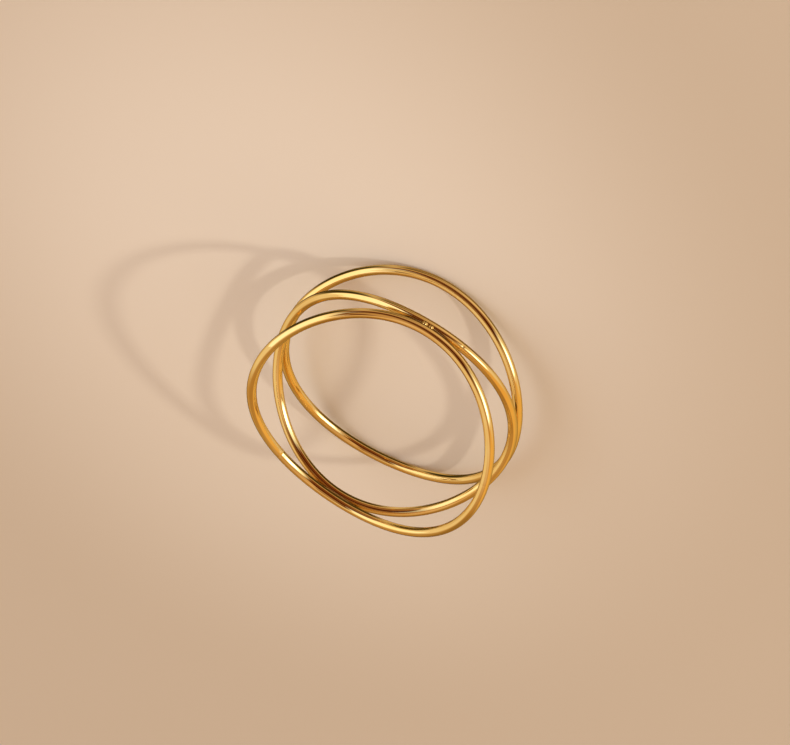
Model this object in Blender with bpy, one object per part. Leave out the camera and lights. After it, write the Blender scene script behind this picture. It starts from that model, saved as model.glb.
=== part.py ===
"""Stackable ring of three wavy wire hoops, soldered side by side. Metres, +Z up, lying on its side.

The finger goes through along Z. The back hoop lies lowest, the middle hoop rests on its two
crests, and the front hoop lies on the middle one. All three are bent on one round cylinder.
"""

import math

import bmesh
import bpy
import numpy as np

FINGER_DIAMETER = 0.0173
WIRE_DIAMETER = 0.00072
# Distance between two touching wires' centres, as a share of the wire's diameter: the wires
# are pressed a little into each other where the solder drew them together.
TOUCH_SHARE = 0.94
# Each hoop rises and falls twice in a turn, by about this much above and below its own level.
WAVE_HEIGHT = 0.00102
# How far the middle and front hoops lean over the back hoop, at the edge of the ring.
PAIR_LEAN = 0.0005

SOLDER_DIAMETER = 0.00052
SOLDER_TIP_SHARE = 0.42
SOLDER_LENGTH = 0.0029

HOOP_POINTS = 90
SOLDER_POINTS = 11
# A bevel resolution of 4 gives the wire 12 sides, and 2 gives the solder 8.
WIRE_BEVEL_RESOLUTION = 4
SOLDER_BEVEL_RESOLUTION = 2

HOOP_RADIUS = (FINGER_DIAMETER + WIRE_DIAMETER) / 2

# The hoops from the lowest up: each one's wave as a share of the wave height, its crest, where
# it is highest, in degrees from +X, and whether it leans.
HOOPS = (
    {"name": "back_hoop", "wave": 0.92, "crest": 14.4, "leans": False},
    {"name": "middle_hoop", "wave": 1.07, "crest": 98.4, "leans": True},
    {"name": "front_hoop", "wave": 1.0, "crest": 1.6, "leans": True},
)

GOLD_COLOUR = (0.86, 0.56, 0.17, 1.0)
GOLD_ROUGHNESS = 0.12


def clear_scene():
    for obj in list(bpy.data.objects):
        bpy.data.objects.remove(obj)


def make_collection(name, hidden=False):
    collection = bpy.data.collections.new(name)
    bpy.context.scene.collection.children.link(collection)
    collection.hide_render = hidden
    return collection


def gold_material():
    material = bpy.data.materials.new("polished_gold")
    material.use_nodes = True
    shader = material.node_tree.nodes["Principled BSDF"]
    shader.inputs["Base Color"].default_value = GOLD_COLOUR
    shader.inputs["Metallic"].default_value = 1.0
    shader.inputs["Roughness"].default_value = GOLD_ROUGHNESS
    return material


def wave_rise(hoop, angle):
    return WAVE_HEIGHT * hoop["wave"] * np.cos(2 * (angle - math.radians(hoop["crest"])))


def lean_line():
    """Angle of the line through the two places where the middle hoop touches the back one."""
    lower, upper = HOOPS[0], HOOPS[1]
    across = 0.0
    along = 0.0
    for hoop, sign in ((lower, 1), (upper, -1)):
        crest = 2 * math.radians(hoop["crest"])
        across += sign * hoop["wave"] * math.sin(crest)
        along += sign * hoop["wave"] * math.cos(crest)
    return math.atan2(across, along) / 2


def rise(hoop, angle):
    """Height of a hoop's wire above its own level, all round."""
    height = wave_rise(hoop, angle)
    if hoop["leans"]:
        height = height + PAIR_LEAN * np.sin(angle - lean_line())
    return height


def touches(lower, upper, count=3600):
    """Angles where the gap between two neighbouring hoops is least, and the gap there."""
    angle = np.linspace(0, 2 * math.pi, count, endpoint=False)
    gap = rise(upper, angle) - rise(lower, angle)
    lowest = (gap <= np.roll(gap, 1)) & (gap < np.roll(gap, -1))
    return angle[lowest], gap[lowest].min()


def hoop_levels():
    """The level of each hoop's centre line, stacked so that neighbours just meet."""
    bottom = WAVE_HEIGHT * HOOPS[0]["wave"] + WIRE_DIAMETER / 2
    levels = [bottom]
    for lower, upper in zip(HOOPS, HOOPS[1:]):
        least = touches(lower, upper)[1]
        levels.append(levels[-1] + TOUCH_SHARE * WIRE_DIAMETER - least)
    return levels


def hoop_point(angle, height):
    return (HOOP_RADIUS * math.cos(angle), HOOP_RADIUS * math.sin(angle), height)


def wire_mesh(name, points, thicknesses, bevel_resolution, closed):
    """A round wire along the points, as a closed mesh."""
    curve = bpy.data.curves.new(name, "CURVE")
    curve.dimensions = "3D"
    curve.twist_mode = "Z_UP"
    curve.bevel_depth = max(thicknesses) / 2
    curve.bevel_resolution = bevel_resolution
    curve.use_fill_caps = not closed
    spline = curve.splines.new("POLY")
    spline.points.add(len(points) - 1)
    spline.use_cyclic_u = closed
    for target, place, thickness in zip(spline.points, points, thicknesses):
        target.co = (*place, 1.0)
        target.radius = thickness / max(thicknesses)
    guide = bpy.data.objects.new(name + "_guide", curve)
    bpy.context.scene.collection.objects.link(guide)
    graph = bpy.context.evaluated_depsgraph_get()
    mesh = bpy.data.meshes.new_from_object(guide.evaluated_get(graph))
    mesh.transform(guide.matrix_world)
    bpy.data.objects.remove(guide)
    weld_caps(mesh)
    mesh.name = name
    return mesh


def weld_caps(mesh):
    work = bmesh.new()
    work.from_mesh(mesh)
    bmesh.ops.remove_doubles(work, verts=work.verts, dist=WIRE_DIAMETER / 1000)
    bmesh.ops.recalc_face_normals(work, faces=work.faces)
    work.to_mesh(mesh)
    work.free()


def make_hoop(hoop, level):
    angles = [2 * math.pi * index / HOOP_POINTS for index in range(HOOP_POINTS)]
    points = [hoop_point(angle, level + float(rise(hoop, angle))) for angle in angles]
    return wire_mesh(hoop["name"], points, [WIRE_DIAMETER] * HOOP_POINTS, WIRE_BEVEL_RESOLUTION, True)


def make_solder(name, lower, upper, levels, centre):
    """A spindle of solder along the groove between two wires, thinner towards its ends."""
    half_turn = SOLDER_LENGTH / 2 / HOOP_RADIUS
    points = []
    thicknesses = []
    for share in np.linspace(-1, 1, SOLDER_POINTS):
        angle = centre + share * half_turn
        below = levels[0] + rise(lower, angle)
        above = levels[1] + rise(upper, angle)
        points.append(hoop_point(angle, float(below + above) / 2))
        fullness = math.sqrt(1 - share * share)
        thicknesses.append(SOLDER_DIAMETER * max(SOLDER_TIP_SHARE, fullness))
    return wire_mesh(name, points, thicknesses, SOLDER_BEVEL_RESOLUTION, False)


def add_object(mesh, collection, material):
    obj = bpy.data.objects.new(mesh.name, mesh)
    mesh.materials.clear()
    mesh.materials.append(material)
    collection.objects.link(obj)
    return obj


def join_to(body, helper):
    helper.hide_render = True
    helper.display_type = "WIRE"
    union = body.modifiers.new("join_" + helper.name, "BOOLEAN")
    union.operation = "UNION"
    union.solver = "EXACT"
    union.object = helper


def build():
    clear_scene()
    part = make_collection("stackable_ring")
    helpers = make_collection("joined_pieces", hidden=True)
    gold = gold_material()
    levels = hoop_levels()
    hoops = [make_hoop(hoop, level) for hoop, level in zip(HOOPS, levels)]
    ring = add_object(hoops[1], part, gold)
    ring.name = "soldered_ring"
    for mesh in (hoops[0], hoops[2]):
        join_to(ring, add_object(mesh, helpers, gold))
    for row in range(len(HOOPS) - 1):
        lower, upper = HOOPS[row], HOOPS[row + 1]
        for number, centre in enumerate(touches(lower, upper)[0], start=1):
            name = f"solder_{lower['name']}_{number}"
            mesh = make_solder(name, lower, upper, levels[row : row + 2], centre)
            join_to(ring, add_object(mesh, helpers, gold))
    ring.data.shade_smooth()


build()
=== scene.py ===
# Looks for a stackable ring of three wavy gold wire hoops, soldered side by side.
# Lengths in the dictionaries are millimetres, and directions are degrees seen from the ring.
import math

import bmesh
import bpy
from mathutils import Matrix, Vector, noise


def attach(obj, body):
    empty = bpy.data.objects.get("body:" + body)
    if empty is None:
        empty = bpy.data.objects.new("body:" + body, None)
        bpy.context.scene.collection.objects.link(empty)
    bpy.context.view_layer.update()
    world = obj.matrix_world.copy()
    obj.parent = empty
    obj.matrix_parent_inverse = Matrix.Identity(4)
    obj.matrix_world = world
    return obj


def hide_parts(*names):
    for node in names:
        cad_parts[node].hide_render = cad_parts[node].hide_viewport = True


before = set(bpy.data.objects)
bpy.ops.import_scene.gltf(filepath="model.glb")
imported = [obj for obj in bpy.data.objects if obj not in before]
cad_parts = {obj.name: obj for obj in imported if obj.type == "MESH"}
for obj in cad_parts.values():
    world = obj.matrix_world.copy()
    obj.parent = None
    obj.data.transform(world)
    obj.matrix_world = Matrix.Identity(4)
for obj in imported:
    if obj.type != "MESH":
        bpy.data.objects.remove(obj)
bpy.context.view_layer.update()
millimetre = 0.001

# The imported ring's sizes, then its hoops from the lowest up: each one's wave as a share of the
# wave height, its crest, and where it was closed and marked.
ringSize = {
    "fingerDiameter": 17.3,
    "wireDiameter": 0.72,
    "touchShare": 0.94,
    "waveHeight": 1.02,
    "pairLean": 0.5,
}

hoopLooks = {
    "backHoop": {"wave": 0.92, "crest": 14.4, "leans": False,
                 "seamAngle": 210.5, "nickAngle": 272.2, "seed": 3.0},
    "middleHoop": {"wave": 1.07, "crest": 98.4, "leans": True,
                   "seamAngle": 258.0, "nickAngle": 148.0, "seed": 11.0},
    "frontHoop": {"wave": 1.0, "crest": 1.6, "leans": True,
                  "seamAngle": 62.0, "nickAngle": 196.0, "seed": 23.0},
}


# Node helpers

def pickSocket(sockets, name):
    if name.startswith("input") and name[5:].isdigit():
        return sockets[int(name[5:])]
    wanted = name.replace("_", " ").lower()
    for socket in sockets:
        if socket.enabled and socket.name.lower() == wanted:
            return socket
    raise KeyError(name)


def feed(tree, socket, value):
    if isinstance(value, bpy.types.NodeSocket):
        tree.links.new(value, socket)
    else:
        socket.default_value = value


def addNode(tree, kind, settings=None, **sockets):
    node = tree.nodes.new(kind)
    for name, value in (settings or {}).items():
        setattr(node, name, value)
    for name, value in sockets.items():
        feed(tree, pickSocket(node.inputs, name), value)
    return node


def addMath(tree, operation, *values):
    node = tree.nodes.new("ShaderNodeMath")
    node.operation = operation
    for socket, value in zip(node.inputs, values):
        feed(tree, socket, value)
    return node.outputs[0]


def addVector(tree, operation, first, second):
    node = tree.nodes.new("ShaderNodeVectorMath")
    node.operation = operation
    feed(tree, node.inputs[0], first)
    feed(tree, node.inputs["Scale"] if operation == "SCALE" else node.inputs[1], second)
    return node.outputs["Value"] if operation == "DOT_PRODUCT" else node.outputs["Vector"]


def addCombine(tree, x, y, z):
    node = tree.nodes.new("ShaderNodeCombineXYZ")
    for socket, value in zip(node.inputs, (x, y, z)):
        feed(tree, socket, value)
    return node.outputs[0]


def addSeparate(tree, vector):
    return addNode(tree, "ShaderNodeSeparateXYZ", input0=vector).outputs


def addMix(tree, share, first, second):
    node = addNode(
        tree, "ShaderNodeMix", {"data_type": "RGBA"}, input0=share, input6=first, input7=second
    )
    return node.outputs[2]


def newGroup(name, kind, inputs, outputs):
    group = bpy.data.node_groups.new(name, kind)
    for socketName, socketKind, value in inputs:
        socket = group.interface.new_socket(socketName, in_out="INPUT", socket_type=socketKind)
        if value is not None:
            socket.default_value = value
    for socketName, socketKind in outputs:
        group.interface.new_socket(socketName, in_out="OUTPUT", socket_type=socketKind)
    given = group.nodes.new("NodeGroupInput").outputs
    result = group.nodes.new("NodeGroupOutput").inputs
    return group, given, result


def addPiece(name, mesh):
    piece = bpy.data.objects.new(name, mesh)
    bpy.context.scene.collection.objects.link(piece)
    return piece


# Where the hoops run and where they touch

def hoopRadius():
    return (ringSize["fingerDiameter"] + ringSize["wireDiameter"]) / 2


def leanAngle():
    across = 0.0
    along = 0.0
    for name, sign in (("backHoop", 1), ("middleHoop", -1)):
        hoop = hoopLooks[name]
        across += sign * hoop["wave"] * math.sin(2 * math.radians(hoop["crest"]))
        along += sign * hoop["wave"] * math.cos(2 * math.radians(hoop["crest"]))
    return math.atan2(across, along) / 2


def hoopRise(name, angle):
    hoop = hoopLooks[name]
    fromCrest = angle - math.radians(hoop["crest"])
    rise = ringSize["waveHeight"] * hoop["wave"] * math.cos(2 * fromCrest)
    if hoop["leans"]:
        rise += ringSize["pairLean"] * math.sin(angle - leanAngle())
    return rise


def findTouches(lower, upper, count=3600):
    angles = [2 * math.pi * index / count for index in range(count)]
    gaps = [hoopRise(upper, angle) - hoopRise(lower, angle) for angle in angles]
    lowest = [i for i in range(count) if gaps[i] <= gaps[i - 1] and gaps[i] < gaps[(i + 1) % count]]
    return [angles[i] for i in lowest], min(gaps)


def findLevels():
    names = list(hoopLooks)
    first = hoopLooks[names[0]]
    levels = {names[0]: ringSize["waveHeight"] * first["wave"] + ringSize["wireDiameter"] / 2}
    for lower, upper in zip(names, names[1:]):
        least = findTouches(lower, upper)[1]
        levels[upper] = levels[lower] + ringSize["touchShare"] * ringSize["wireDiameter"] - least
    return levels


def ringPoint(angle, out, height):
    return Vector((out * math.cos(angle), out * math.sin(angle), height)) * millimetre


# Grooves: how close each point lies to the next wire, kept in the mesh for the finishes, which paint
# shade into the grooves and dull them

grooveLooks = {
    "hoopReach": 0.2,
    "solderReach": 0.03,
}


def markGrooves(mesh, neighbours, levels, reach):
    marks = mesh.attributes.new("groove", "FLOAT", "POINT")
    radius = ringSize["wireDiameter"] / 2
    for vert, mark in zip(mesh.vertices, marks.data):
        place = vert.co / millimetre
        angle = math.atan2(place.y, place.x)
        out = math.hypot(place.x, place.y) - hoopRadius()
        closest = reach
        for name in neighbours:
            height = place.z - levels[name] - hoopRise(name, angle)
            closest = min(closest, math.hypot(out, height) - radius)
        share = 1 - max(0.0, closest) / reach
        mark.value = share * share * (3 - 2 * share)  # eased at both ends


# Hoops: one wavy wire, swept by Geometry Nodes

wireLooks = {
    "stepsRound": 900,
    "stepsAcross": 44,
    "wobble": 0.012,  # how far the bent wire strays
    "wobbleLength": 5.9,
    "thinning": 0.012,  # uneven draw of the wire, as a share of its thickness
    "thinningLength": 2.4,
    "seamDepth": 0.035,  # groove left where a hoop's ends were closed, as a share
    "nickDepth": 0.018,  # a small mark left by handling, as a share
    "seamWidth": 0.06,
    "polishLoss": 0.002,  # gold polished off all round
}


def buildHoopTree():
    inputs = (
        ("Hoop Radius", "NodeSocketFloat", 0.009),
        ("Wire Radius", "NodeSocketFloat", 0.00036),
        ("Level", "NodeSocketFloat", 0.0),
        ("Wave Height", "NodeSocketFloat", 0.001),
        ("Crest Angle", "NodeSocketFloat", 0.0),
        ("Lean Height", "NodeSocketFloat", 0.0),
        ("Lean Angle", "NodeSocketFloat", 0.0),
        ("Seam Angle", "NodeSocketFloat", 0.0),
        ("Nick Angle", "NodeSocketFloat", 0.0),
        ("Seam Depth", "NodeSocketFloat", 0.03),
        ("Nick Depth", "NodeSocketFloat", 0.03),
        ("Seam Width", "NodeSocketFloat", 0.00006),
        ("Wobble", "NodeSocketFloat", 0.00001),
        ("Wobble Length", "NodeSocketFloat", 0.006),
        ("Thinning", "NodeSocketFloat", 0.01),
        ("Thinning Length", "NodeSocketFloat", 0.0024),
        ("Seed", "NodeSocketFloat", 0.0),
        ("Steps Round", "NodeSocketInt", 900),
        ("Steps Across", "NodeSocketInt", 44),
        ("Finish", "NodeSocketMaterial", None),
    )
    tree, given, result = newGroup(
        "wavyHoop", "GeometryNodeTree", inputs, (("Geometry", "NodeSocketGeometry"),)
    )
    tree.is_modifier = True
    circle = addNode(
        tree, "GeometryNodeCurvePrimitiveCircle",
        Resolution=given["Steps Round"], Radius=given["Hoop Radius"],
    )
    place = addNode(tree, "GeometryNodeInputPosition").outputs[0]
    parts = addSeparate(tree, place)
    angle = addMath(tree, "ARCTAN2", parts[1], parts[0])

    # The wave, the lean and the level lift the circle into a wavy hoop.
    fromCrest = addMath(tree, "MULTIPLY", addMath(tree, "SUBTRACT", angle, given["Crest Angle"]), 2.0)
    wave = addMath(tree, "MULTIPLY", addMath(tree, "COSINE", fromCrest), given["Wave Height"])
    fromLean = addMath(tree, "SUBTRACT", angle, given["Lean Angle"])
    lean = addMath(tree, "MULTIPLY", addMath(tree, "SINE", fromLean), given["Lean Height"])
    height = addMath(tree, "ADD", addMath(tree, "ADD", wave, lean), given["Level"])
    lift = addCombine(tree, 0.0, 0.0, height)
    lifted = addNode(tree, "GeometryNodeSetPosition", Geometry=circle.outputs[0], Offset=lift)

    # A bend made by hand strays a little from the rule.
    stray = addNode(
        tree, "ShaderNodeTexNoise", {"noise_dimensions": "4D"}, Vector=place, W=given["Seed"],
        Scale=addMath(tree, "DIVIDE", 1.0, given["Wobble Length"]), Detail=1.0,
    )
    centred = addVector(tree, "SUBTRACT", stray.outputs["Color"], (0.5, 0.5, 0.5))
    strayed = addVector(tree, "SCALE", centred, given["Wobble"])
    bent = addNode(tree, "GeometryNodeSetPosition", Geometry=lifted.outputs[0], Offset=strayed)
    upright = addNode(tree, "GeometryNodeSetCurveNormal", {"mode": "Z_UP"}, Curve=bent.outputs[0])

    # The wire is a little uneven, and pinched where its two ends were closed.
    uneven = addNode(
        tree, "ShaderNodeTexNoise", {"noise_dimensions": "4D"}, Vector=place, W=given["Seed"],
        Scale=addMath(tree, "DIVIDE", 1.0, given["Thinning Length"]), Detail=2.0,
    )
    thin = addMath(tree, "MULTIPLY", uneven.outputs["Fac"], given["Thinning"])
    scale = addMath(tree, "SUBTRACT", 1.0, thin)
    for mark in ("Seam", "Nick"):
        turn = addMath(tree, "SUBTRACT", angle, given[mark + " Angle"])
        turn = addMath(tree, "WRAP", turn, math.pi, -math.pi)
        away = addMath(tree, "MULTIPLY", turn, given["Hoop Radius"])
        away = addMath(tree, "DIVIDE", away, given["Seam Width"])
        fade = addMath(tree, "MULTIPLY", addMath(tree, "MULTIPLY", away, away), -1.0)
        pinch = addMath(tree, "MULTIPLY", addMath(tree, "EXPONENT", fade), given[mark + " Depth"])
        scale = addMath(tree, "SUBTRACT", scale, pinch)

    # wireRound tells the finish which way round the wire a point faces.
    section = addNode(
        tree, "GeometryNodeCurvePrimitiveCircle",
        Resolution=given["Steps Across"], Radius=given["Wire Radius"],
    )
    outward = addNode(tree, "ShaderNodeVectorMath", {"operation": "NORMALIZE"}, input0=place)
    marked = addNode(
        tree, "GeometryNodeStoreNamedAttribute", {"data_type": "FLOAT_VECTOR", "domain": "POINT"},
        Geometry=section.outputs[0], Name="wireRound", Value=outward.outputs[0],
    )
    wire = addNode(
        tree, "GeometryNodeCurveToMesh", Curve=upright.outputs[0], Profile_Curve=marked.outputs[0],
        Scale=scale,
    )
    smooth = addNode(tree, "GeometryNodeSetShadeSmooth", Geometry=wire.outputs[0], Shade_Smooth=True)
    real = addNode(tree, "GeometryNodeRealizeInstances", Geometry=smooth.outputs[0])
    finish = addNode(tree, "GeometryNodeSetMaterial", Geometry=real.outputs[0], Material=given["Finish"])
    tree.links.new(finish.outputs[0], result[0])
    return tree


def turnOutwards(mesh):
    work = bmesh.new()
    work.from_mesh(mesh)
    if work.calc_volume(signed=True) < 0:
        bmesh.ops.reverse_faces(work, faces=work.faces)
    work.to_mesh(mesh)
    work.free()


def bakeTree(name, tree, values):
    guide = addPiece(name + "Guide", bpy.data.meshes.new(name + "Guide"))
    modifier = guide.modifiers.new("shape", "NODES")
    modifier.node_group = tree
    for item in tree.interface.items_tree:
        if item.item_type == "SOCKET" and item.name in values:
            modifier[item.identifier] = values[item.name]
    graph = bpy.context.evaluated_depsgraph_get()
    mesh = bpy.data.meshes.new_from_object(guide.evaluated_get(graph))
    bpy.data.objects.remove(guide)
    mesh.name = name
    turnOutwards(mesh)
    return mesh


def buildHoops(levels, material):
    tree = buildHoopTree()
    names = list(hoopLooks)
    hoops = []
    for index, (name, hoop) in enumerate(hoopLooks.items()):
        values = {
            "Hoop Radius": (hoopRadius() - wireLooks["wobble"] / 2) * millimetre,
            "Wire Radius": (ringSize["wireDiameter"] / 2 - wireLooks["polishLoss"]) * millimetre,
            "Level": levels[name] * millimetre,
            "Wave Height": ringSize["waveHeight"] * hoop["wave"] * millimetre,
            "Crest Angle": math.radians(hoop["crest"]),
            "Lean Height": ringSize["pairLean"] * millimetre if hoop["leans"] else 0.0,
            "Lean Angle": leanAngle(),
            "Seam Angle": math.radians(hoop["seamAngle"]),
            "Nick Angle": math.radians(hoop["nickAngle"]),
            "Seam Depth": wireLooks["seamDepth"],
            "Nick Depth": wireLooks["nickDepth"],
            "Seam Width": wireLooks["seamWidth"] * millimetre,
            "Wobble": wireLooks["wobble"] * millimetre,
            "Wobble Length": wireLooks["wobbleLength"] * millimetre,
            "Thinning": wireLooks["thinning"],
            "Thinning Length": wireLooks["thinningLength"] * millimetre,
            "Seed": hoop["seed"],
            "Steps Round": wireLooks["stepsRound"],
            "Steps Across": wireLooks["stepsAcross"],
            "Finish": material,
        }
        mesh = bakeTree(name, tree, values)
        neighbours = names[max(0, index - 1):index] + names[index + 1:index + 2]
        markGrooves(mesh, neighbours, levels, grooveLooks["hoopReach"])
        hoops.append(addPiece(name, mesh))
    print("hoops:", ", ".join(hoop.name for hoop in hoops))
    return hoops


# Solder: a fillet along the groove at each place where two hoops touch

solderLooks = {
    "length": 2.9,
    "throat": 0.54,  # depth of solder at the middle of a joint, as a share of the wire's radius
    "tipThroat": 0.16,
    "bury": 0.06,  # how far the fillet's edges reach under the wires, as a share of its sweep
    "leastCurve": 0.02,  # least radius of the fillet's hollow, as a share of the wire's radius
    "sections": 49,
    "arcSteps": 9,
    "sharpAngle": 50.0,
}


def filletLoop(angle, low, high, throat):
    radius = ringSize["wireDiameter"] / 2
    middle = (low + high) / 2
    half = (high - low) / 2
    curve = (throat ** 2 - radius ** 2 + half ** 2) / (2 * (radius - throat))
    curve = max(solderLooks["leastCurve"] * radius, curve)
    reach = math.sqrt(max(0.0, (radius + curve) ** 2 - half ** 2))
    sweep = math.atan2(half, reach) * (1 + solderLooks["bury"])
    steps = solderLooks["arcSteps"]
    outer = []
    for step in range(steps):
        turn = sweep * (2 * step / (steps - 1) - 1)
        outer.append((reach - curve * math.cos(turn), middle + curve * math.sin(turn)))
    points = [ringPoint(angle, hoopRadius() + out, height) for out, height in outer]
    points += [ringPoint(angle, hoopRadius() - out, height) for out, height in reversed(outer)]
    return points


def buildSolder(name, lower, upper, levels, centre, material):
    work = bmesh.new()
    halfTurn = solderLooks["length"] / 2 / hoopRadius()
    radius = ringSize["wireDiameter"] / 2
    loops = []
    for section in range(solderLooks["sections"]):
        along = 2 * section / (solderLooks["sections"] - 1) - 1
        angle = centre + along * halfTurn
        swell = (solderLooks["throat"] - solderLooks["tipThroat"]) * (1 - along * along)
        throat = radius * (solderLooks["tipThroat"] + swell)
        low = levels[lower] + hoopRise(lower, angle)
        high = levels[upper] + hoopRise(upper, angle)
        loops.append([work.verts.new(point) for point in filletLoop(angle, low, high, throat)])
    for first, second in zip(loops, loops[1:]):
        count = len(first)
        for index in range(count):
            after = (index + 1) % count
            work.faces.new((first[index], first[after], second[after], second[index]))
    work.faces.new(loops[0])
    work.faces.new(list(reversed(loops[-1])))
    bmesh.ops.recalc_face_normals(work, faces=work.faces)
    mesh = bpy.data.meshes.new(name)
    work.to_mesh(mesh)
    work.free()
    mesh.shade_smooth()
    mesh.set_sharp_from_angle(angle=math.radians(solderLooks["sharpAngle"]))
    mesh.materials.append(material)
    markGrooves(mesh, (lower, upper), levels, grooveLooks["solderReach"])
    return addPiece(name, mesh)


def buildJoints(levels, material):
    joints = []
    names = list(hoopLooks)
    for lower, upper in zip(names, names[1:]):
        for number, centre in enumerate(findTouches(lower, upper)[0], start=1):
            name = f"solder.{lower}.{number}"
            joints.append(buildSolder(name, lower, upper, levels, centre, material))
    print("solder joints:", len(joints))
    return joints


# Beads: two drops of solder left standing on one joint

beadLooks = {
    "angles": (276.9, 273.9),
    "radii": (0.25, 0.225),
    "stand": 0.13,  # height of a bead's centre over the hoops' centre line, outwards
    "lump": 0.12,
    "lumpSize": 1.6,
    "seed": 5.0,
    "subdivisions": 4,
}


def buildBeads(levels, material):
    work = bmesh.new()
    for angleDegrees, size in zip(beadLooks["angles"], beadLooks["radii"]):
        angle = math.radians(angleDegrees)
        low = levels["middleHoop"] + hoopRise("middleHoop", angle)
        high = levels["frontHoop"] + hoopRise("frontHoop", angle)
        centre = ringPoint(angle, hoopRadius() + beadLooks["stand"], (low + high) / 2)
        ball = bmesh.ops.create_icosphere(
            work, subdivisions=beadLooks["subdivisions"], radius=size * millimetre
        )
        for vert in ball["verts"]:
            way = vert.co.normalized()
            lump = noise.noise(way * beadLooks["lumpSize"] + Vector((beadLooks["seed"], angle, 0.0)))
            vert.co *= 1 + beadLooks["lump"] * lump
            vert.co += centre
    mesh = bpy.data.meshes.new("solderBeads")
    work.to_mesh(mesh)
    work.free()
    mesh.shade_smooth()
    mesh.materials.append(material)
    print("beads:", len(beadLooks["angles"]))
    return addPiece("solderBeads", mesh)


# Finishes: drawn and polished gold wire, and the softer gold of the solder

goldLooks = {
    "colour": (1.0, 0.77, 0.36),
    "deepColour": (0.97, 0.684, 0.265),
    "edgeTint": (0.50, 0.44, 0.34),
    "patchSize": 3.5,
    "roughness": 0.025,
    "streakRoughness": 0.05,
    "streakDepth": 0.0008,
    "rippleDepth": 0.05,
    # painted shade darkening the grooves between the wires
    "grooveColour": (0.22, 0.14, 0.07),
    "grooveRoughness": 0.25,
}

solderGold = {
    "colour": (1.0, 0.79, 0.45),
    "deepColour": (0.94, 0.67, 0.33),
    "edgeTint": (0.50, 0.44, 0.34),
    "patchSize": 0.5,
    "roughness": 0.26,
    "streakRoughness": 0.2,
    "streakDepth": 0.003,
    "rippleDepth": 0.02,
    # painted shade darkening the solder where it meets the wires
    "grooveColour": (0.46, 0.31, 0.17),
    "grooveRoughness": 0.25,
}

# Marks that both finishes share: lengths along the wire, turns of pattern round it, and the
# values of the noise between which the plain colour gives way to the deep one.
polishMarks = {
    "streakLength": 2.5,
    "streakTurns": 9.0,
    "rippleLength": 9.1,
    "rippleTurns": 1.9,
    "hazeSize": 1.1,
    "patchStart": 0.38,
    "patchEnd": 0.68,
}


def buildToneGroup():
    inputs = (
        ("Colour", "NodeSocketColor", (1.0, 0.7, 0.3, 1.0)),
        ("Deep Colour", "NodeSocketColor", (0.9, 0.5, 0.15, 1.0)),
        ("Patch Size", "NodeSocketFloat", 0.003),
    )
    outputs = (("Colour", "NodeSocketColor"),)
    group, given, result = newGroup("goldTone", "ShaderNodeTree", inputs, outputs)
    place = addNode(group, "ShaderNodeTexCoord").outputs["Object"]
    scale = addMath(group, "DIVIDE", 1.0, given["Patch Size"])
    patches = addNode(group, "ShaderNodeTexNoise", Vector=place, Scale=scale, Detail=3.0, Roughness=0.55)
    spread = addNode(
        group, "ShaderNodeMapRange", Value=patches.outputs["Fac"],
        From_Min=polishMarks["patchStart"], From_Max=polishMarks["patchEnd"], To_Min=0.0, To_Max=1.0,
    ).outputs[0]
    group.links.new(addMix(group, spread, given["Colour"], given["Deep Colour"]), result["Colour"])
    return group


def buildGrooveDullingAndShadeGroup():
    inputs = (
        ("Colour", "NodeSocketColor", (1.0, 0.7, 0.3, 1.0)),
        ("Groove Colour", "NodeSocketColor", (0.3, 0.15, 0.05, 1.0)),
        ("Roughness", "NodeSocketFloat", 0.05),
        ("Groove Roughness", "NodeSocketFloat", 0.25),
    )
    outputs = (("Colour", "NodeSocketColor"), ("Roughness", "NodeSocketFloat"))
    group, given, result = newGroup("grooveDullingAndShade", "ShaderNodeTree", inputs, outputs)
    # Painted shade: towards the groove the colour is darkened to the groove colour, while the added
    # roughness there is real dulling.
    share = addNode(group, "ShaderNodeAttribute", {"attribute_name": "groove"}).outputs["Fac"]
    group.links.new(addMix(group, share, given["Colour"], given["Groove Colour"]), result["Colour"])
    dulling = addMath(group, "MULTIPLY", share, given["Groove Roughness"])
    group.links.new(addMath(group, "ADD", given["Roughness"], dulling), result["Roughness"])
    return group


def addWireNoise(tree, place, around, length, turns, detail):
    along = addSeparate(tree, addVector(tree, "SCALE", place, 1.0 / (length * millimetre)))
    turned = addSeparate(tree, addVector(tree, "SCALE", around, turns))
    return addNode(
        tree, "ShaderNodeTexNoise", {"noise_dimensions": "4D"},
        Vector=addCombine(tree, along[0], along[1], turned[0]), W=turned[1], Scale=1.0, Detail=detail,
    ).outputs["Fac"]


def buildPolishGroup():
    inputs = (
        ("Roughness", "NodeSocketFloat", 0.04),
        ("Streak Roughness", "NodeSocketFloat", 0.1),
        ("Streak Depth", "NodeSocketFloat", 0.0000015),
        ("Ripple Depth", "NodeSocketFloat", 0.00001),
    )
    outputs = (("Roughness", "NodeSocketFloat"), ("Height", "NodeSocketFloat"))
    group, given, result = newGroup("drawnPolish", "ShaderNodeTree", inputs, outputs)
    place = addNode(group, "ShaderNodeTexCoord").outputs["Object"]
    around = addNode(group, "ShaderNodeAttribute", {"attribute_name": "wireRound"}).outputs["Vector"]
    marks = polishMarks
    streaks = addWireNoise(group, place, around, marks["streakLength"], marks["streakTurns"], 2.0)
    ripple = addWireNoise(group, place, around, marks["rippleLength"], marks["rippleTurns"], 0.0)
    hazeScale = 1.0 / (marks["hazeSize"] * millimetre)
    haze = addNode(
        group, "ShaderNodeTexNoise", Vector=place, Scale=hazeScale, Detail=4.0, Roughness=0.6
    ).outputs["Fac"]
    hazedStreaks = addMath(group, "MULTIPLY", streaks, haze)
    spots = addMath(group, "MULTIPLY", hazedStreaks, given["Streak Roughness"])
    fine = addMath(group, "MULTIPLY", addMath(group, "ADD", streaks, haze), given["Streak Depth"])
    broad = addMath(group, "MULTIPLY", ripple, given["Ripple Depth"])
    group.links.new(addMath(group, "ADD", given["Roughness"], spots), result["Roughness"])
    group.links.new(addMath(group, "ADD", fine, broad), result["Height"])
    return group


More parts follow.
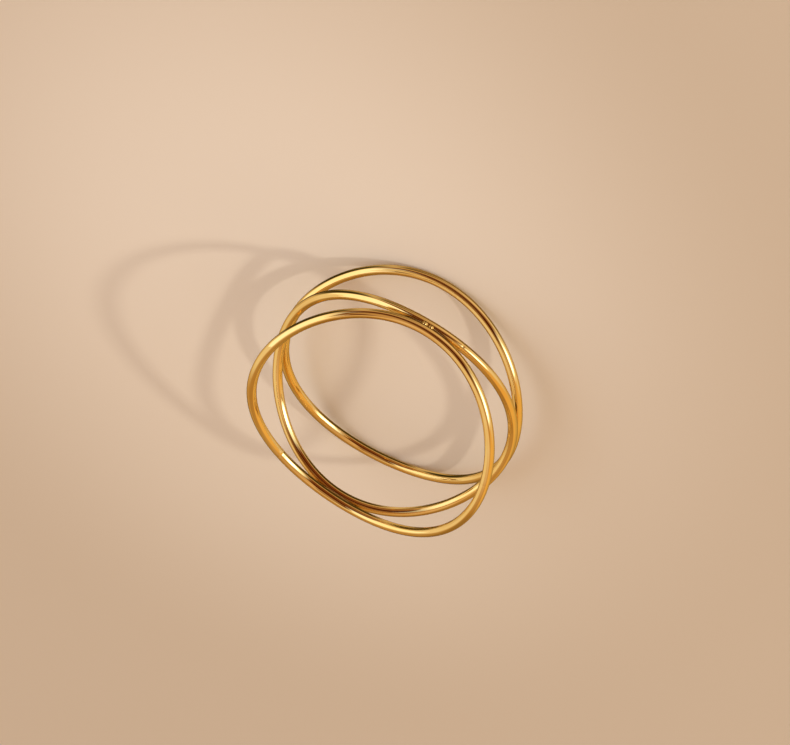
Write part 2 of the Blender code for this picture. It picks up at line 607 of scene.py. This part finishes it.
def goldMaterial(name, looks, groups):
    material = bpy.data.materials.new(name)
    material.use_nodes = True
    tree = material.node_tree
    shader = tree.nodes["Principled BSDF"]
    shader.inputs["Metallic"].default_value = 1.0
    shader.inputs["Specular Tint"].default_value = (*looks["edgeTint"], 1.0)
    tone = addNode(
        tree, "ShaderNodeGroup", {"node_tree": groups["tone"]},
        Colour=(*looks["colour"], 1.0), Deep_Colour=(*looks["deepColour"], 1.0),
        Patch_Size=looks["patchSize"] * millimetre,
    )
    polish = addNode(
        tree, "ShaderNodeGroup", {"node_tree": groups["polish"]},
        Roughness=looks["roughness"], Streak_Roughness=looks["streakRoughness"],
        Streak_Depth=looks["streakDepth"] * millimetre, Ripple_Depth=looks["rippleDepth"] * millimetre,
    )
    groove = addNode(
        tree, "ShaderNodeGroup", {"node_tree": groups["groove"]},
        Colour=tone.outputs["Colour"], Groove_Colour=(*looks["grooveColour"], 1.0),
        Roughness=polish.outputs["Roughness"], Groove_Roughness=looks["grooveRoughness"],
    )
    bump = addNode(tree, "ShaderNodeBump", Height=polish.outputs["Height"], Distance=1.0)
    tree.links.new(groove.outputs["Colour"], shader.inputs["Base Color"])
    tree.links.new(groove.outputs["Roughness"], shader.inputs["Roughness"])
    tree.links.new(bump.outputs["Normal"], shader.inputs["Normal"])
    return material


def buildFinishes():
    groups = {"tone": buildToneGroup(), "polish": buildPolishGroup(), "groove": buildGrooveDullingAndShadeGroup()}
    wireFinish = goldMaterial("wireGold", goldLooks, groups)
    solderFinish = goldMaterial("solderGold", solderGold, groups)
    print("finishes:", wireFinish.name, "and", solderFinish.name)
    return wireFinish, solderFinish


# Floor, painted lighter round the ring as a pool of light

floorLooks = {
    "size": 1800.0,
    "colour": (0.69, 0.615, 0.58),
    # a painted pool of light: the floor turns to this paler colour round the centre, fading out by the
    # outer distance
    "poolLightColour": (0.9, 0.855, 0.88),
    "poolLightCentre": (12.0, -1.0),
    "poolLightInner": 8.0,
    "poolLightOuter": 42.0,
    "roughness": 0.75,
}


def buildFloor():
    material = bpy.data.materials.new("paleFloor")
    material.use_nodes = True
    tree = material.node_tree
    shader = tree.nodes["Principled BSDF"]
    shader.inputs["Roughness"].default_value = floorLooks["roughness"]
    place = addNode(tree, "ShaderNodeTexCoord").outputs["Object"]
    centre = Vector((*floorLooks["poolLightCentre"], 0.0)) * millimetre
    away = addNode(tree, "ShaderNodeVectorMath", {"operation": "DISTANCE"}, input0=place, input1=centre)
    # Painted pool of light: paler near the centre, fading to the plain colour further out.
    share = addNode(
        tree, "ShaderNodeMapRange", {"interpolation_type": "SMOOTHSTEP"}, Value=away.outputs["Value"],
        From_Min=floorLooks["poolLightInner"] * millimetre, From_Max=floorLooks["poolLightOuter"] * millimetre,
        To_Min=1.0, To_Max=0.0,
    ).outputs[0]
    colour = addMix(tree, share, (*floorLooks["colour"], 1.0), (*floorLooks["poolLightColour"], 1.0))
    tree.links.new(colour, shader.inputs["Base Color"])
    mesh = bpy.data.meshes.new("floor")
    work = bmesh.new()
    bmesh.ops.create_grid(work, x_segments=1, y_segments=1, size=floorLooks["size"] / 2 * millimetre)
    work.to_mesh(mesh)
    work.free()
    mesh.materials.append(material)
    floor = addPiece("floor", mesh)
    floor.visible_glossy = False  # the wires mirror the dim room below instead
    print("floor:", floor.name)


# Lights, as soft boxes of a given width and height in degrees: radiance is how bright a box
# looks, and the wires show a mirrored one

lightLooks = {
    "broadSoftBox": {"azimuth": -3.0, "elevation": 41.0, "wide": 55.0, "high": 50.0,
                     "radiance": 0.62, "colour": (0.72, 0.793, 0.902), "mirrored": True},
    "keyLight": {"azimuth": -142.0, "elevation": 27.0, "wide": 3.0, "high": 3.0,
                 "radiance": 330.0, "colour": (1.0, 0.876, 0.635), "mirrored": False},
    "fillLight": {"azimuth": -45.0, "elevation": 66.0, "wide": 50.0, "high": 50.0,
                  "radiance": 0.4, "colour": (1.0, 0.904, 0.679), "mirrored": False},
}

lightDistance = 450.0


def pointing(azimuth, elevation):
    turn = math.radians(azimuth)
    lift = math.radians(elevation)
    return Vector((math.cos(turn) * math.cos(lift), math.sin(turn) * math.cos(lift), math.sin(lift)))


def buildLights(target):
    distance = lightDistance * millimetre
    for name, looks in lightLooks.items():
        light = bpy.data.lights.new(name, "AREA")
        light.shape = "RECTANGLE"
        light.size = 2 * distance * math.tan(math.radians(looks["wide"] / 2))
        light.size_y = 2 * distance * math.tan(math.radians(looks["high"] / 2))
        light.energy = math.pi * looks["radiance"] * light.size * light.size_y
        light.color = looks["colour"]
        lamp = bpy.data.objects.new(name, light)
        lamp.visible_glossy = looks["mirrored"]  # the others light the floor alone
        outward = pointing(looks["azimuth"], looks["elevation"])
        lamp.location = target + distance * outward
        lamp.rotation_euler = (-outward).to_track_quat("-Z", "Y").to_euler()
        bpy.context.scene.collection.objects.link(lamp)
    print("lights:", ", ".join(lightLooks))


# Room: wall colours by elevation, soft patches laid over them in turn, then the dim side.
# A patch is whole within its inner angle and gone past its outer one.

roomWalls = (
    (-90.0, (0.54, 0.36, 0.18)),
    (-30.0, (0.71, 0.55, 0.37)),
    (0.0, (0.65, 0.45, 0.23)),
    (35.0, (0.46, 0.25, 0.078)),
    (90.0, (0.8, 0.55, 0.36)),
)

roomPatches = {
    "glow": {"azimuth": 12.0, "elevation": 40.0, "inner": 30.0, "outer": 56.0,
             "colour": (0.85, 0.69, 0.47)},
    "warmGlow": {"azimuth": 178.0, "elevation": 12.0, "inner": 15.0, "outer": 45.0,
                 "colour": (0.82, 0.47, 0.135)},
    "lowWarm": {"azimuth": 140.0, "elevation": -35.0, "inner": 20.0, "outer": 52.0,
                "colour": (0.65, 0.42, 0.155)},
    "farBrown": {"azimuth": 116.0, "elevation": 12.0, "inner": 8.0, "outer": 30.0,
                 "colour": (0.32, 0.18, 0.053)},
    "sideBrown": {"azimuth": -112.0, "elevation": 22.0, "inner": 16.0, "outer": 36.0,
                  "colour": (0.36, 0.19, 0.05)},
    "lowOlive": {"azimuth": -110.0, "elevation": -58.0, "inner": 14.0, "outer": 30.0,
                 "colour": (0.09, 0.06, 0.016)},
    "underEdge": {"azimuth": 88.0, "elevation": -22.0, "inner": 18.0, "outer": 36.0,
                  "colour": (0.36, 0.22, 0.09)},
    "sideGlow": {"azimuth": -140.0, "elevation": -8.0, "inner": 14.0, "outer": 32.0,
                 "colour": (0.85, 0.682, 0.477)},
    "lowDark": {"azimuth": -3.0, "elevation": -20.0, "inner": 14.0, "outer": 32.0,
                "colour": (0.035, 0.028, 0.004)},
    "edgeDark": {"azimuth": 36.0, "elevation": -42.0, "inner": 10.0, "outer": 22.0,
                 "colour": (0.07, 0.045, 0.012)},
    "sideSoftLight": {"azimuth": -131.0, "elevation": 18.0, "inner": 10.0, "outer": 23.0,
                      "colour": (1.25, 1.26, 1.2)},
    "sparkle": {"azimuth": -136.0, "elevation": 13.0, "inner": 4.0, "outer": 14.0,
                "colour": (3.9, 3.9, 3.7)},
}

# Bright and dark levels on the dim side draw fine lines along the wires.
dimSide = {
    "azimuth": -73.0,
    "inner": 32.0,
    "outer": 52.0,
    "stops": (
        (-86.0, (0.4, 0.258, 0.123)),
        (-68.0, (0.06, 0.041, 0.01)),
        (-46.0, (0.07, 0.046, 0.012)),
        (-34.0, (0.46, 0.304, 0.159)),
        (-22.0, (0.8, 0.572, 0.361)),
        (-11.0, (0.46, 0.267, 0.13)),
        (0.0, (0.17, 0.069, 0.018)),
        (12.0, (0.3, 0.148, 0.058)),
        (20.0, (0.18, 0.05, 0.012)),
        (27.0, (0.05, 0.003, 0.0)),
        (53.0, (0.05, 0.003, 0.0)),
        (59.0, (0.34, 0.166, 0.065)),
        (65.0, (0.11, 0.028, 0.004)),
        (74.0, (0.5, 0.304, 0.159)),
        (88.0, (0.74, 0.507, 0.332)),
    ),
}


def addRamp(tree, level, stops):
    ramp = addNode(tree, "ShaderNodeValToRGB", Fac=level)
    ramp.color_ramp.interpolation = "EASE"
    marks = ramp.color_ramp.elements
    for mark, (elevation, colour) in ((marks[0], stops[0]), (marks[1], stops[-1])):
        mark.position = elevation / 180 + 0.5
        mark.color = (*colour, 1.0)
    for elevation, colour in stops[1:-1]:
        marks.new(elevation / 180 + 0.5).color = (*colour, 1.0)
    return ramp.outputs["Color"]


def nearDirection(tree, direction, looks):
    towards = pointing(looks["azimuth"], looks.get("elevation", 0.0))
    return addNode(
        tree, "ShaderNodeMapRange", {"interpolation_type": "SMOOTHSTEP"},
        Value=addVector(tree, "DOT_PRODUCT", direction, towards),
        From_Min=math.cos(math.radians(looks["outer"])), From_Max=math.cos(math.radians(looks["inner"])),
        To_Min=0.0, To_Max=1.0,
    ).outputs[0]


def buildRoom():
    world = bpy.data.worlds.new("studio")
    world.use_nodes = True
    tree = world.node_tree
    direction = addNode(tree, "ShaderNodeTexCoord").outputs["Generated"]
    height = addSeparate(tree, direction)[2]
    turns = addMath(tree, "DIVIDE", addMath(tree, "ARCSINE", height), math.pi)
    level = addMath(tree, "ADD", turns, 0.5)  # 0 straight down, 1 straight up
    colour = addRamp(tree, level, roomWalls)
    for looks in roomPatches.values():
        share = nearDirection(tree, direction, looks)
        colour = addMix(tree, share, colour, (*looks["colour"], 1.0))
    flat = addVector(tree, "MULTIPLY", direction, (1.0, 1.0, 0.0))
    heading = addNode(tree, "ShaderNodeVectorMath", {"operation": "NORMALIZE"}, input0=flat).outputs[0]
    share = nearDirection(tree, heading, dimSide)
    colour = addMix(tree, share, colour, addRamp(tree, level, dimSide["stops"]))
    tree.links.new(colour, tree.nodes["Background"].inputs["Color"])
    bpy.context.scene.world = world
    print("room:", len(roomPatches), "patches and", len(dimSide["stops"]), "levels on the dim side")


# Camera

cameraLooks = {
    "elevation": 45.32,
    "roll": 215.18,
    "distance": 300.0,
    "aside": -0.408,  # how far right of the picture's middle the ring's middle lies
    "below": 2.070,
    "focalPixels": 4262.0,
    "frameWidth": 790,
    "sensorWidth": 36.0,
    "clipStart": 10.0,
    "clipEnd": 10000.0,
}


def buildCamera(middleLevel):
    looks = cameraLooks
    elevation = math.radians(looks["elevation"])
    roll = math.radians(looks["roll"])
    forward = Vector((0.0, math.cos(elevation), -math.sin(elevation)))
    flatRight = Vector((1.0, 0.0, 0.0))
    flatDown = forward.cross(flatRight)
    right = math.cos(roll) * flatRight - math.sin(roll) * flatDown
    down = math.sin(roll) * flatRight + math.cos(roll) * flatDown
    aim = Vector((0.0, 0.0, middleLevel))
    place = aim - looks["aside"] * right - looks["below"] * down - looks["distance"] * forward
    data = bpy.data.cameras.new("camera")
    data.sensor_width = looks["sensorWidth"]
    data.lens = looks["focalPixels"] * looks["sensorWidth"] / looks["frameWidth"]
    data.clip_start = looks["clipStart"] * millimetre
    data.clip_end = looks["clipEnd"] * millimetre
    camera = addPiece("camera", data)
    turn = Matrix((right, -down, -forward)).transposed()
    camera.matrix_world = Matrix.Translation(place * millimetre) @ turn.to_4x4()
    bpy.context.scene.camera = camera
    print("camera:", round(data.lens, 1), "mm lens")


levels = findLevels()
buildCamera(levels["middleHoop"])
wireGold, jointGold = buildFinishes()
pieces = buildHoops(levels, wireGold)
pieces += buildJoints(levels, jointGold)
pieces.append(buildBeads(levels, wireGold))
for piece in pieces:
    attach(piece, "root")
    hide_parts("soldered_ring")
buildFloor()
buildLights(Vector((0.0, 0.0, levels["middleHoop"])) * millimetre)
buildRoom()
bpy.context.scene.view_settings.view_transform = "Standard"
